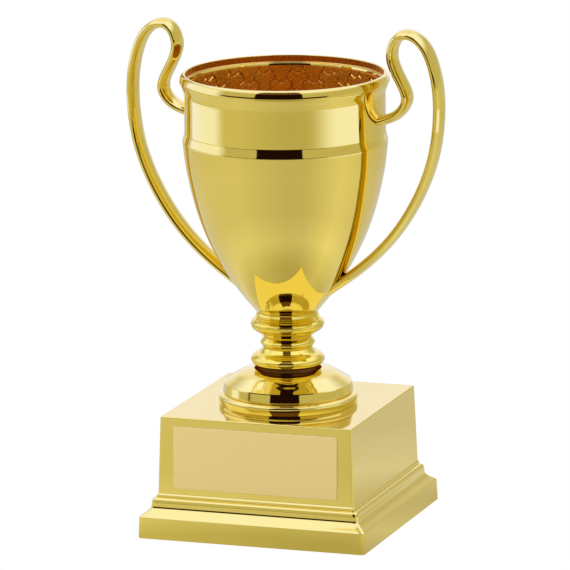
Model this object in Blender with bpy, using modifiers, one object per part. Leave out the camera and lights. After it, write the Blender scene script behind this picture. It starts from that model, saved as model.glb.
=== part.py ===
"""Two-handled presentation cup on a square plinth.

A thin-walled cup, three stacked knops and a hollow foot are threaded on one tie rod that is
nutted inside a hollow square plinth. The plinth is a deep cap standing on a moulded skirt,
closed from below by a screwed cover that carries a ballast plate and a soft pad.

Dimensions are in millimetres and turned into metres when a mesh is made. +Z is up, the
nameplate faces -Y, the handles lie in the XZ plane, and the origin is at the centre of the
underside.
"""
import math

import bmesh
import bpy
from mathutils import Matrix, Vector

OBJECT_NAME = "cup_trophy"
MM = 0.001
MERGE = 0.00001
GAP = 0.3
EDGE = 0.4
HOLE_STEPS = 16
SCREW_STEPS = 12

# Tie rod and the bore that everything on it shares
ROD_RADIUS = 2.0
BORE = ROD_RADIUS + GAP
ROD_TOP = 83.6
ROD_BOTTOM = 33.0
NUT_RADIUS = 4.0
NUT_HEIGHT = 3.2
WASHER_RADIUS = 5.0
WASHER_HEIGHT = 0.8

# Cup: outside radii and heights
CUP_WALL = 1.5
CUP_BOTTOM = 75.5
CUP_BOTTOM_RADIUS = 10.7
CUP_FLOOR = 78.0
CUP_FLOOR_RADIUS = 7.0
LIP_TOP = 160.8
LIP_INNER_RADIUS = 34.6
RIM_RADIUS = 36.7
RIM_LOW = 158.0
NECK_RADIUS = 35.3
NECK_TOP = 153.3
NECK_LOW = 140.3
BELT_RADIUS = 36.1
BELT_LOW = 137.2
FLANK = ((BELT_RADIUS, BELT_LOW), (34.85, 126.6), (31.9, 113.7), (28.1, 102.9), (22.7, 92.1),
         (17.1, 83.5), (CUP_BOTTOM_RADIUS, CUP_BOTTOM))
INNER_WALL_RADIUS = NECK_RADIUS - CUP_WALL
LIP_ROUND = 0.8
CUP_STEPS = 40

# Handles: an oval strip on a centreline in the XZ plane, from the neck round to the flank
HANDLE_THICKNESS = 3.56
HANDLE_DEPTH = 9.2
HANDLE_ROUTE = ((33.0, 144.9), (38.6, 146.4), (42.9, 149.1), (45.3, 155.4), (41.0, 163.7),
                (39.4, 169.9), (42.2, 176.1), (47.7, 176.3), (52.9, 171.5), (56.2, 161.2),
                (56.9, 150.0), (52.4, 126.6), (40.6, 105.5), (24.2, 89.8), (12.2, 81.2))
HANDLE_SECTIONS_PER_SPAN = 3

# Screws that hold the handles from inside the cup
HANDLE_SCREW_RADIUS = 1.0
SCREW_HEAD_RADIUS = 2.0
SCREW_HEAD_HEIGHT = 1.2
SCREW_HEAD_TOP_RADIUS = 1.4
SCREW_TIP_RADIUS = 0.6
SCREW_TAPER = 0.6
SCREW_HOLE_DEPTH = 8.0
UPPER_SCREW_Z = 146.1
UPPER_SCREW_LENGTH = 5.6
LOWER_SCREW_POINT = (19.9, 87.0)
LOWER_SCREW_SLOPE = (0.894, -0.447)
LOWER_SCREW_LENGTH = 4.0
LOWER_SEAT_GAP = 0.9

# Stem knops, cut apart at the two waists
UPPER_WAIST = 66.5
LOWER_WAIST = 62.7
STEM_LOW = 56.6
STEM_STEPS = 32

# Foot
FOOT_NECK_RADIUS = 11.3
FOOT_TOP = STEM_LOW - GAP
FOOT_SHOULDER = 55.1
FOOT_BAND_RADIUS = 22.9
FOOT_BEAD_RADIUS = 24.7
FOOT_HOLLOW_RADIUS = 21.2
FOOT_WALL = 1.7

# Plinth cap
PLINTH_TOP = 42.9
PLINTH_LOW = 14.4
PLINTH_TOP_HALF = 35.3
PLINTH_LOW_HALF = 36.2
PLINTH_WALL = 2.0
POST_OFFSET = 27.0
POST_RADIUS = 3.4
POST_LOW = 3.6

# Plinth skirt: half-widths of the mouldings
SKIRT_TOP = PLINTH_LOW - GAP
SKIRT_HALF = 42.0
SLAB_TOP = 7.9
SKIRT_OPENING = 31.5
SKIRT_WALL = 2.0
COVER_SEAT = 3.6
COVER_SEAT_HALF = 38.0
SKIRT_INSIDE_HALF = 36.0

# Nameplate on the front of the plinth cap
PLATE_WIDTH = 61.0
PLATE_HEIGHT = 22.4
PLATE_THICKNESS = 0.6
PLATE_CENTRE_Z = 28.6
PLATE_GAP = 0.15

# Cover, ballast and pad
COVER_HALF = 39.2
COVER_LOW = 1.2
COVER_TOP = 3.3
COVER_SCREW_RADIUS = 1.25
COVER_SCREW_HEAD_RADIUS = 2.5
COVER_SCREW_TIP_RADIUS = 0.625
COVER_SCREW_LENGTH = 10.0
COVER_SCREW_SINK = 1.3
COVER_SCREW_TAPER = 1.0
BALLAST_HALF = 22.0
BALLAST_HEIGHT = 8.0
PAD_HALF = 39.2
PAD_HEIGHT = 0.9

SIDES = (("left", -1), ("right", 1))
CORNERS = (("front_left", -1, -1), ("front_right", 1, -1), ("rear_left", -1, 1),
           ("rear_right", 1, 1))


# ---------------------------------------------------------------- scene and materials
def clear_scene():
    for obj in list(bpy.data.objects):
        bpy.data.objects.remove(obj, do_unlink=True)


def new_collection(name):
    collection = bpy.data.collections.new(name)
    bpy.context.scene.collection.children.link(collection)
    return collection


def make_material(name, colour, roughness, metallic):
    material = bpy.data.materials.new(name)
    material.use_nodes = True
    shader = material.node_tree.nodes["Principled BSDF"]
    shader.inputs["Base Color"].default_value = (*colour, 1.0)
    shader.inputs["Roughness"].default_value = roughness
    shader.inputs["Metallic"].default_value = metallic
    return material


# ---------------------------------------------------------------- outlines
def smooth(points, steps):
    """Catmull-Rom curve through the points, with the given number of steps per span."""
    first = [2 * a - b for a, b in zip(points[0], points[1])]
    last = [2 * a - b for a, b in zip(points[-1], points[-2])]
    padded = [Vector(first)] + [Vector(p) for p in points] + [Vector(last)]
    curve = []
    for i in range(1, len(padded) - 2):
        p0, p1, p2, p3 = padded[i - 1:i + 3]
        for k in range(steps):
            t = k / steps
            curve.append(0.5 * (2 * p1 + (p2 - p0) * t + (2 * p0 - 5 * p1 + 4 * p2 - p3) * t ** 2
                                + (3 * p1 - p0 - 3 * p2 + p3) * t ** 3))
    curve.append(padded[-2])
    return [tuple(p) for p in curve]


def arc(radius_at, height_at, radius, start, end, steps):
    """Points on a circle in the profile plane; angles in degrees from the outward direction."""
    points = []
    for k in range(steps + 1):
        angle = math.radians(start + (end - start) * k / steps)
        points.append((radius_at + radius * math.cos(angle), height_at + radius * math.sin(angle)))
    return points


def inset(points, distance):
    """Move an outline sideways by a distance, towards the axis on a downward outline."""
    moved = []
    for i, (r, z) in enumerate(points):
        before = points[max(i - 1, 0)]
        after = points[min(i + 1, len(points) - 1)]
        run = Vector((after[0] - before[0], after[1] - before[1])).normalized()
        moved.append((r + run.y * distance, z - run.x * distance))
    return moved


# ---------------------------------------------------------------- mesh makers
def link_mesh(name, mesh, collection, material=None):
    obj = bpy.data.objects.new(name, mesh)
    collection.objects.link(obj)
    if material:
        mesh.materials.append(material)
    return obj


def outline_mesh(name, points, closed):
    """A wire outline in the XZ plane, in metres."""
    mesh = bpy.data.meshes.new(name)
    edges = [(i, i + 1) for i in range(len(points) - 1)]
    if closed:
        edges.append((len(points) - 1, 0))
    mesh.from_pydata([(r * MM, 0.0, z * MM) for r, z in points], edges, [])
    return mesh


def add_screw(obj, steps):
    screw = obj.modifiers.new("Turn", "SCREW")
    screw.axis = "Z"
    screw.angle = 2 * math.pi
    screw.steps = steps
    screw.render_steps = steps
    screw.use_merge_vertices = True
    screw.merge_threshold = MERGE


def turned(name, profile, steps, collection, material=None):
    """A solid of revolution. A profile that starts and ends on the axis is left open there."""
    on_axis = profile[0][0] == 0 and profile[-1][0] == 0
    obj = link_mesh(name, outline_mesh(name, profile, not on_axis), collection, material)
    add_screw(obj, steps)
    return obj


def square_turned(name, profile, collection, material=None):
    """A square solid with mitred corners: the profile gives half-widths instead of radii."""
    corner = [(half * math.sqrt(2), z) for half, z in profile]
    obj = turned(name, corner, 4, collection, material)
    obj.rotation_euler.z = math.radians(45)
    return obj


def block(name, half_x, half_y, low, high, collection, material=None):
    mesh = bpy.data.meshes.new(name)
    bm = bmesh.new()
    bmesh.ops.create_cube(bm, size=1.0)
    bmesh.ops.scale(bm, vec=(2 * half_x * MM, 2 * half_y * MM, (high - low) * MM), verts=bm.verts)
    bmesh.ops.translate(bm, vec=(0, 0, (low + high) / 2 * MM), verts=bm.verts)
    bm.to_mesh(mesh)
    bm.free()
    return link_mesh(name, mesh, collection, material)


def place(obj, point, direction):
    """Put the origin at a point in millimetres and turn +Z to a direction."""
    turn = Vector(direction).to_track_quat("Z", "Y")
    obj.matrix_world = Matrix.Translation(Vector(point) * MM) @ turn.to_matrix().to_4x4()
    return obj


def as_cutter(obj):
    obj.hide_render = True
    obj.display_type = "WIRE"
    return obj


def boolean(obj, other, operation):
    modifier = obj.modifiers.new(operation.title(), "BOOLEAN")
    modifier.operation = operation
    modifier.solver = "EXACT"
    modifier.object = other


def round_edges(obj, width, segments, limit_degrees):
    bevel = obj.modifiers.new("Edges", "BEVEL")
    bevel.width = width * MM
    bevel.segments = segments
    bevel.limit_method = "ANGLE"
    bevel.angle_limit = math.radians(limit_degrees)


def drill(name, radius, length, point, direction, cutters):
    """A hole cutter that starts at the point and runs along the direction."""
    profile = [(0, length), (radius, length), (radius, 0), (0, 0)]
    return place(as_cutter(turned(name, profile, HOLE_STEPS, cutters)), point, direction)


def at_four_corners(cutter, height):
    """Put a cutter at one corner of the plinth and mirror it to the other three."""
    centre = bpy.data.objects.new(cutter.name + "_centre", None)
    bpy.context.scene.collection.objects.link(centre)
    cutter.location = (POST_OFFSET * MM, POST_OFFSET * MM, height * MM)
    mirror = cutter.modifiers.new("Corners", "MIRROR")
    mirror.use_axis = (True, True, False)
    mirror.mirror_object = centre
    mirror.use_mirror_merge = False
    mirror.merge_threshold = MERGE
    return as_cutter(cutter)


# ---------------------------------------------------------------- cup
def cup_outline():
    """Outside of the cup from the lip to its bottom edge."""
    lip = arc(RIM_RADIUS - LIP_ROUND, LIP_TOP - LIP_ROUND, LIP_ROUND, 90, 0, 3)
    rim = [(RIM_RADIUS, RIM_LOW)]
    neck = [(NECK_RADIUS, NECK_TOP), (NECK_RADIUS, NECK_LOW)]
    return lip + rim + neck + smooth(FLANK, 3)


def cup_inside():
    """Inside of the cup from its floor up to the lip."""
    flank = inset(smooth(FLANK[:-1], 2), CUP_WALL)
    wall = [(INNER_WALL_RADIUS, NECK_TOP), (LIP_INNER_RADIUS - 0.3, RIM_LOW)]
    return [(CUP_FLOOR_RADIUS, CUP_FLOOR)] + flank[::-1] + wall + [(LIP_INNER_RADIUS, LIP_TOP - EDGE)]


def make_cup(parts, cutters, gold):
    bottom = [(BORE, CUP_BOTTOM), (BORE, CUP_FLOOR)]
    cup = turned("cup_bowl", cup_outline() + bottom + cup_inside(), CUP_STEPS, parts, gold)
    for side, sign in SIDES:
        for level, point, direction, _ in handle_screw_places(sign):
            name = "cup_hole_" + side + "_" + level
            start = Vector(point) - SCREW_HOLE_DEPTH / 2 * Vector(direction)
            hole = drill(name, HANDLE_SCREW_RADIUS + GAP, SCREW_HOLE_DEPTH, start, direction, cutters)
            boolean(cup, hole, "DIFFERENCE")


def handle_screw_places(sign):
    """Seat of each screw head on the inside wall, its direction and its shank length."""
    upper_seat = (sign * (INNER_WALL_RADIUS - GAP), 0, UPPER_SCREW_Z)
    slope = Vector((sign * LOWER_SCREW_SLOPE[0], 0, LOWER_SCREW_SLOPE[1])).normalized()
    flank_point = Vector((sign * LOWER_SCREW_POINT[0], 0, LOWER_SCREW_POINT[1]))
    lower_seat = flank_point - (CUP_WALL + LOWER_SEAT_GAP) * slope
    return (("upper", upper_seat, (sign, 0, 0), UPPER_SCREW_LENGTH),
            ("lower", tuple(lower_seat), tuple(slope), LOWER_SCREW_LENGTH))


# ---------------------------------------------------------------- handles
def handle_mesh(name):
    """Oval strip swept along the route, as a mesh with welded caps, on the +X side."""
    route = [(x, 0, z) for x, z in HANDLE_ROUTE]
    points = smooth(route, HANDLE_SECTIONS_PER_SPAN)
    curve = bpy.data.curves.new(name, "CURVE")
    curve.dimensions = "3D"
    curve.bevel_depth = HANDLE_THICKNESS / 2 * MM
    curve.bevel_resolution = 3
    curve.use_fill_caps = True
    spline = curve.splines.new("POLY")
    spline.points.add(len(points) - 1)
    for target, point in zip(spline.points, points):
        target.co = (*[value * MM for value in point], 1.0)
    guide = bpy.data.objects.new(name, curve)
    bpy.context.scene.collection.objects.link(guide)
    mesh = bpy.data.meshes.new_from_object(guide.evaluated_get(bpy.context.evaluated_depsgraph_get()))
    bpy.data.objects.remove(guide, do_unlink=True)
    bm = bmesh.new()
    bm.from_mesh(mesh)
    bmesh.ops.remove_doubles(bm, verts=bm.verts, dist=MERGE)
    bmesh.ops.scale(bm, vec=(1, HANDLE_DEPTH / HANDLE_THICKNESS, 1), verts=bm.verts)
    bmesh.ops.recalc_face_normals(bm, faces=bm.faces)
    bm.to_mesh(mesh)
    bm.free()
    return mesh


def make_handles(parts, cutters, gold):
    # The strip runs into the cup and is cut back to the cup's outside, less the gap
    envelope = [(r + GAP, z) for r, z in cup_outline()]
    closed = [(0, LIP_TOP)] + envelope + [(0, CUP_BOTTOM)]
    cup_cutter = as_cutter(turned("cup_envelope", closed, CUP_STEPS, cutters))
    for side, sign in SIDES:
        mesh = handle_mesh("handle_" + side)
        if sign < 0:
            mesh.transform(Matrix.Rotation(math.pi, 4, "Z"))
        handle = link_mesh("handle_" + side, mesh, parts, gold)
        boolean(handle, cup_cutter, "DIFFERENCE")
        for level, point, direction, length in handle_screw_places(sign):
            name = "pilot_" + side + "_" + level
            pilot = drill(name, HANDLE_SCREW_RADIUS + GAP, length + GAP, point, direction, cutters)
            boolean(handle, pilot, "DIFFERENCE")


def make_handle_screws(parts, steel):
    for side, sign in SIDES:
        for level, point, direction, length in handle_screw_places(sign):
            profile = [(0, length), (SCREW_TIP_RADIUS, length),
                       (HANDLE_SCREW_RADIUS, length - SCREW_TAPER), (HANDLE_SCREW_RADIUS, 0),
                       (SCREW_HEAD_RADIUS, 0), (SCREW_HEAD_RADIUS, -SCREW_HEAD_HEIGHT / 2),
                       (SCREW_HEAD_TOP_RADIUS, -SCREW_HEAD_HEIGHT), (0, -SCREW_HEAD_HEIGHT)]
            name = "handle_screw_" + side + "_" + level
            place(turned(name, profile, SCREW_STEPS, parts, steel), point, direction)


# ---------------------------------------------------------------- stem and foot
def bored(name, outside, steps, parts, material):
    """A turned piece with the tie rod's bore through it."""
    top = outside[0][1]
    low = outside[-1][1]
    return turned(name, outside + [(BORE, low), (BORE, top)], steps, parts, material)


def make_knops(parts, gold):
    collar = [(10.7, CUP_BOTTOM - GAP), (11.2, 74.1), (11.9, 73.0)]
    upper_ring = smooth(((12.1, 72.7), (12.9, 71.9), (12.9, 70.8), (12.4, 69.8), (11.1, 68.7)), 2)
    upper = collar + upper_ring + [(8.9, 67.2), (8.4, UPPER_WAIST + GAP / 2)]
    bored("upper_knop", upper, STEM_STEPS, parts, gold)
    middle = smooth(((8.4, UPPER_WAIST - GAP / 2), (9.4, 65.2), (9.6, 64.4), (9.2, 63.6),
                     (8.6, LOWER_WAIST + GAP / 2)), 2)
    bored("middle_knop", middle, STEM_STEPS, parts, gold)
    lower = smooth(((8.6, LOWER_WAIST - GAP / 2), (9.9, 61.1), (11.7, 60.3), (13.0, 58.9),
                    (12.6, 57.3), (11.2, STEM_LOW)), 2)
    bored("lower_knop", lower, STEM_STEPS, parts, gold)


def make_foot(parts, gold):
    low = PLINTH_TOP + GAP
    neck = [(FOOT_NECK_RADIUS, FOOT_TOP)]
    dome = smooth(((FOOT_NECK_RADIUS, FOOT_SHOULDER), (16.4, 54.0), (19.7, 52.1), (22.5, 50.3)), 3)
    band = [(FOOT_BAND_RADIUS, 50.0), (FOOT_BAND_RADIUS, 47.2), (FOOT_BAND_RADIUS - 0.3, 46.9)]
    bead = smooth(((23.4, 46.5), (FOOT_BEAD_RADIUS, 45.7), (FOOT_BEAD_RADIUS, 44.3), (22.8, low)), 2)
    inner_top = FOOT_SHOULDER - FOOT_WALL
    hollow = [(FOOT_HOLLOW_RADIUS, low), (FOOT_HOLLOW_RADIUS, 48.6)] + inset(dome, FOOT_WALL)[::-1]
    bore = [(BORE, inner_top), (BORE, FOOT_TOP)]
    turned("foot", neck + dome + band + bead + hollow + bore, STEM_STEPS, parts, gold)


# ---------------------------------------------------------------- tie rod and its fasteners
def nut_on_rod(name, low, height, parts, steel):
    bored(name, [(NUT_RADIUS, low + height), (NUT_RADIUS, low)], 6, parts, steel)


def washer_on_rod(name, low, parts, steel):
    bored(name, [(WASHER_RADIUS, low + WASHER_HEIGHT), (WASHER_RADIUS, low)], 24, parts, steel)


def make_rod_set(parts, steel):
    rod = [(0, ROD_TOP), (ROD_RADIUS - EDGE, ROD_TOP), (ROD_RADIUS, ROD_TOP - EDGE),
           (ROD_RADIUS, ROD_BOTTOM + EDGE), (ROD_RADIUS - EDGE, ROD_BOTTOM), (0, ROD_BOTTOM)]
    turned("tie_rod", rod, 20, parts, steel)
    washer_on_rod("cup_washer", CUP_FLOOR + GAP, parts, steel)
    make_cap_nut(CUP_FLOOR + WASHER_HEIGHT + 2 * GAP, parts, steel)
    washer_low = PLINTH_TOP - PLINTH_WALL - GAP - WASHER_HEIGHT
    washer_on_rod("plinth_washer", washer_low, parts, steel)
    nut_on_rod("plinth_nut", washer_low - GAP - NUT_HEIGHT, NUT_HEIGHT, parts, steel)


def make_cap_nut(low, parts, steel):
    """Domed nut that covers the top end of the rod."""
    hollow_top = ROD_TOP + GAP
    dome = arc(0, hollow_top - 1.6, NUT_RADIUS - 0.3, 90, 0, 5)
    dome[0] = (0, dome[0][1])
    skirt = [(NUT_RADIUS, hollow_top - 2.0), (NUT_RADIUS, low), (BORE, low), (BORE, hollow_top)]
    turned("cap_nut", dome + skirt + [(0, hollow_top)], 18, parts, steel)


# ---------------------------------------------------------------- plinth
def make_plinth_cap(parts, cutters, gold):
    under = PLINTH_TOP - PLINTH_WALL
    shell = [(PLINTH_TOP_HALF - EDGE, PLINTH_TOP), (PLINTH_TOP_HALF, PLINTH_TOP - EDGE),
             (PLINTH_LOW_HALF, PLINTH_LOW), (PLINTH_LOW_HALF - PLINTH_WALL, PLINTH_LOW),
             (PLINTH_TOP_HALF - PLINTH_WALL, under)]
    profile = [(0, PLINTH_TOP)] + shell + [(0, under)]
    cap = square_turned("plinth_cap", profile, parts, gold)
    post_top = under + PLINTH_WALL / 2
    pilot_radius = COVER_SCREW_RADIUS + GAP
    pilot_top = COVER_LOW + COVER_SCREW_LENGTH + 2 * GAP
    post = turned("plinth_posts", [(0, post_top), (POST_RADIUS, post_top), (POST_RADIUS, POST_LOW),
                                   (pilot_radius, POST_LOW), (pilot_radius, pilot_top),
                                   (0, pilot_top)], HOLE_STEPS, cutters)
    boolean(cap, at_four_corners(post, 0), "UNION")
    rod_hole = drill("plinth_rod_hole", BORE, 2 * PLINTH_WALL, (0, 0, under - 1), (0, 0, 1), cutters)
    boolean(cap, rod_hole, "DIFFERENCE")


def make_skirt(parts, gold):
    """Moulded skirt: ledge, round bead, cove and slab, hollow below with a seat for the cover."""
    ledge = [(SKIRT_OPENING, SKIRT_TOP), (37.0, SKIRT_TOP)]
    bead = smooth(((37.3, 13.6), (38.1, 12.9), (38.3, 11.9), (38.0, 10.9)), 2)
    cove = smooth(((38.6, 10.6), (39.6, 8.9), (41.2, SLAB_TOP)), 2)
    slab_inside = SKIRT_HALF - SKIRT_WALL - EDGE
    slab = [(SKIRT_HALF - EDGE, SLAB_TOP - EDGE / 2), (SKIRT_HALF, 0), (slab_inside, 0)]
    seat = [(slab_inside, COVER_SEAT), (COVER_SEAT_HALF, COVER_SEAT), (COVER_SEAT_HALF, 6.0)]
    under = SKIRT_TOP - SKIRT_WALL
    inside = [(SKIRT_INSIDE_HALF, 8.0), (SKIRT_INSIDE_HALF, under), (SKIRT_OPENING, under)]
    square_turned("plinth_skirt", ledge + bead + cove + slab + seat + inside, parts, gold)


def make_nameplate(parts, satin):
    """Flat plate bonded to the front of the cap, leaning back with the cap's draft."""
    plate = block("nameplate", PLATE_WIDTH / 2, PLATE_HEIGHT / 2, 0, PLATE_THICKNESS, parts, satin)
    lean = (PLINTH_LOW_HALF - PLINTH_TOP_HALF) / (PLINTH_TOP - PLINTH_LOW)
    outward = Vector((0, -1, lean)).normalized()
    along = (PLATE_CENTRE_Z - PLINTH_LOW) / (PLINTH_TOP - PLINTH_LOW)
    face = PLINTH_LOW_HALF + (PLINTH_TOP_HALF - PLINTH_LOW_HALF) * along
    seat = Vector((0, -face, PLATE_CENTRE_Z)) + PLATE_GAP * outward
    across = Vector((1, 0, 0))
    turn = Matrix((across, outward.cross(across), outward)).transposed()
    plate.matrix_world = Matrix.Translation(seat * MM) @ turn.to_4x4()
    round_edges(plate, 0.15, 1, 60)


def make_underside(parts, cutters, plastic, iron, foam, steel):
    cover = block("bottom_cover", COVER_HALF, COVER_HALF, COVER_LOW, COVER_TOP, parts, plastic)
    radius = COVER_SCREW_RADIUS
    head = COVER_SCREW_HEAD_RADIUS
    length = COVER_SCREW_LENGTH
    through = COVER_TOP - COVER_LOW + 2
    hole = turned("cover_holes", [(0, through), (radius + GAP, through),
                                  (radius + GAP, COVER_SCREW_SINK + GAP),
                                  (head + GAP, 0), (0, 0)], HOLE_STEPS, cutters)
    boolean(cover, at_four_corners(hole, COVER_LOW - GAP), "DIFFERENCE")
    profile = [(0, length), (COVER_SCREW_TIP_RADIUS, length), (radius, length - COVER_SCREW_TAPER),
               (radius, COVER_SCREW_SINK), (head, 0), (0, 0)]
    for corner, x, y in CORNERS:
        screw = turned("cover_screw_" + corner, profile, SCREW_STEPS, parts, steel)
        screw.location = (x * POST_OFFSET * MM, y * POST_OFFSET * MM, (COVER_LOW + 0.05) * MM)
    ballast_low = COVER_TOP + GAP
    ballast = block("ballast_plate", BALLAST_HALF, BALLAST_HALF, ballast_low,
                    ballast_low + BALLAST_HEIGHT, parts, iron)
    round_edges(ballast, 0.8, 1, 60)
    block("base_pad", PAD_HALF, PAD_HALF, 0, PAD_HEIGHT, parts, foam)


def main():
    clear_scene()
    parts = new_collection(OBJECT_NAME)
    cutters = new_collection(OBJECT_NAME + "_cutters")
    gold = make_material("bright_gold", (0.80, 0.58, 0.14), 0.12, 1.0)
    satin = make_material("satin_gold", (0.74, 0.55, 0.20), 0.45, 1.0)
    steel = make_material("zinc_steel", (0.60, 0.61, 0.62), 0.35, 1.0)
    plastic = make_material("black_plastic", (0.02, 0.02, 0.02), 0.55, 0.0)
    iron = make_material("ballast_iron", (0.22, 0.21, 0.20), 0.60, 1.0)
    foam = make_material("pad_foam", (0.03, 0.03, 0.03), 0.90, 0.0)
    make_cup(parts, cutters, gold)
    make_handles(parts, cutters, gold)
    make_handle_screws(parts, steel)
    make_knops(parts, gold)
    make_foot(parts, gold)
    make_rod_set(parts, steel)
    make_plinth_cap(parts, cutters, gold)
    make_skirt(parts, gold)
    make_nameplate(parts, satin)
    make_underside(parts, cutters, plastic, iron, foam, steel)


main()
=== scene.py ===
"""Looks of the two-handled presentation cup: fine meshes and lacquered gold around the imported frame.

Dimensions are in millimetres, as in the CAD model, and turned into metres when a mesh is made.
+Z is up, the nameplate faces -Y and the handles lie in the XZ plane.
"""

import math

import bmesh
import bpy
from mathutils import Matrix, Vector


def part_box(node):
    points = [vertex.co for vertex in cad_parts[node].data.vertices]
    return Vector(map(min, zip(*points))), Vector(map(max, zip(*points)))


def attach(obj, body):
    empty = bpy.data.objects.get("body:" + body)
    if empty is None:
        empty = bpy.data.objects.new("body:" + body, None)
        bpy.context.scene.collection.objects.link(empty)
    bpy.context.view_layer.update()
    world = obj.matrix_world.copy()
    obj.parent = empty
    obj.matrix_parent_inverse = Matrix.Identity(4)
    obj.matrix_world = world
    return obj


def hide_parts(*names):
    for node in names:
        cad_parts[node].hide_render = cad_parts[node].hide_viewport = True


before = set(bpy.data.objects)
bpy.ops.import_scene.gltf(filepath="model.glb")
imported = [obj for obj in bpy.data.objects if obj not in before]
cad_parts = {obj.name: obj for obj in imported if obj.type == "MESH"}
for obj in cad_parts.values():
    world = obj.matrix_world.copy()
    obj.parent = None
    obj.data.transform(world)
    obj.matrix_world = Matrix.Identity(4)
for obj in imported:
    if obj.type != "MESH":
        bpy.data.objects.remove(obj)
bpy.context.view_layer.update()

MM = 0.001
SEAM = 0.05
WELD = 0.0005
LATHE_STEPS = 256
SHARP_DEGREES = 40

# Fillets: a holding point lies beside each one, and neither takes more than its share of a side
HOLD = 0.06
HOLD_SHARE = 0.2
FILLET_SHARE = 0.42

# Camera: a long lens to the right of the front and a little above the cup
CAMERA_AZIMUTH = 19.425
CAMERA_ELEVATION = 12.336
CAMERA_ROLL = -0.687
CAMERA_DISTANCE = 2252.2
CAMERA_TARGET = (0.0, 0.0, 90.0)
CAMERA_SIDEWAYS = -0.65
CAMERA_UPWARDS = -5.13
CAMERA_LENS = 404.1
SENSOR_WIDTH = 36.0

# World behind the stage: (height of the view direction, colour) low down and overhead
WORLD_STRENGTH = 1.4
WORLD_LOW = (0.45, (0.43, 0.42, 0.36, 1))
WORLD_HIGH = (0.70, (0.80, 0.88, 1.75, 1))

# Floor: its glow by distance in metres, times a share by side in degrees
FLOOR_Z = -0.3
FLOOR_HALF = 6000
FLOOR_GLOW = ((0.065, (0.55, 0.53, 0.43)), (0.11, (0.74, 0.74, 0.76)), (0.18, (0.65, 0.64, 0.64)),
              (0.30, (0.67, 0.66, 0.66)), (0.70, (0.60, 0.58, 0.48)), (1.0, (0.65, 0.63, 0.54)))
FLOOR_SIDES = ((-180, 1.0), (-120, 1.12), (-58, 1.14), (0, 0.92), (22, 0.93), (66, 1.28), (120, 1.02),
               (180, 0.97))

# Cards that the polished surfaces reflect. A glow is (colour, strength). A card is (name, glow,
# azimuths of its two ends from the camera's side, rows of (height, share of the light), distance,
# degrees over which each end fades out)
GLOWS = {
    "softbox": ((1.02, 1.13, 2.3), 1.03),
    "far_edge_shade": ((0.03, 0.014, 0.004), 1.0),
    "backdrop_paper": ((1, 1, 1.2), 1.0),
    "fill_card": ((1, 0.98, 0.9), 1.3),
    "black_card": ((0.014, 0.005, 0.002), 1.0),
    "brown_card": ((0.15, 0.085, 0.07), 1.0),
}
CARDS = (
    ("far_edge_of_floor", "far_edge_shade", (-78, 50), ((85, 1), (380, 1)), 3000, (6, 6)),
    ("left_strip", "softbox", (-134, -70), ((36, 0), (48, 1), (65, 1), (74, 0)), 470, (8, 18)),
    ("left_softbox", "softbox", (-134, -66), ((112, 0), (142, 1), (400, 1)), 470, (8, 16)),
    ("right_softbox", "softbox", (26, 97), ((0, 1), (64, 1), (74, 0)), 480, (36, 8)),
    ("backdrop", "backdrop_paper", (145, 215), ((0, 1), (3000, 1)), 1400, (18, 18)),
    ("front_fill", "fill_card", (-70, 10), ((150, 1), (900, 1)), 1300, (1, 1)),
    ("dark_card", "black_card", (-33, 19.5), ((60, 1), (620, 1)), 1000, (1, 1)),
    ("brown_card", "brown_card", (-33, 19.5), ((620, 1), (2200, 1)), 1000, (1, 1)),
)
CARDS_NOT_REFLECTED = ("front_fill",)
CARDS_ONLY_REFLECTED = ("dark_card", "brown_card")
CARD_STEPS = 60

# Gold finishes: (light tone, deep tone, roughness, height of the moulding waves, lacquer weight)
LACQUERED_GOLD = ((0.90, 0.715, 0.15), (0.87, 0.68, 0.13), 0.04, 0.006, 0.25)
RICH_GOLD = ((0.91, 0.70, 0.09), (0.88, 0.67, 0.075), 0.04, 0.006, 0.12)
# Painted shade: the inside of the wall and of the lip take a darker, redder gold than the outside. It
# stands in for the shade and the gold-on-gold reflections inside the bowl
WALL_GOLD_PAINTED_SHADE = ((0.86, 0.40, 0.04), (0.80, 0.36, 0.035), 0.36, 0.004, 0.0)
# Painted light and shade: the tiles take a gold lighter than the wall between them, painted light on the
# raised tiles against painted shade in the grooves. It is still darker than the outside, as painted shade
# inside the bowl
TILES_GOLD_PAINTED_LIGHT_AND_SHADE = ((1.0, 0.63, 0.09), (0.97, 0.59, 0.08), 0.30, 0.003, 0.0)
LIP_GOLD_PAINTED_SHADE = ((0.80, 0.38, 0.05), (0.76, 0.35, 0.04), 0.22, 0.002, 0.0)
# Painted highlight: the tiles' bevelled sides take a dull, nearly diffuse gold that shows as light
# outlines. It stands in for glints along the bevels
TILE_EDGE_PAINTED_HIGHLIGHT = ((0.48, 0.24, 0.025), (0.45, 0.22, 0.02), 0.55, 0.002, 0.0)
# Dark brown for the neck under the lower ring, with a brown tint in its gloss
DARK_BROWN_NECK = ((0.14, 0.06, 0.012), (0.10, 0.04, 0.008), 0.25, 0.004, 0.0)
TILE_EDGE_HIGHLIGHT_SHADER = {"Metallic": 0.1, "Specular IOR Level": 0.15}
DARK_NECK_TINT = {"Specular Tint": (0.5, 0.3, 0.12, 1)}
GRAIN_LOW = 0.3
GRAIN_HIGH = 0.7

# Outlines below run downwards outside and upwards inside. A point is (radius, height) or
# (radius, height, fillet radius)

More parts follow.
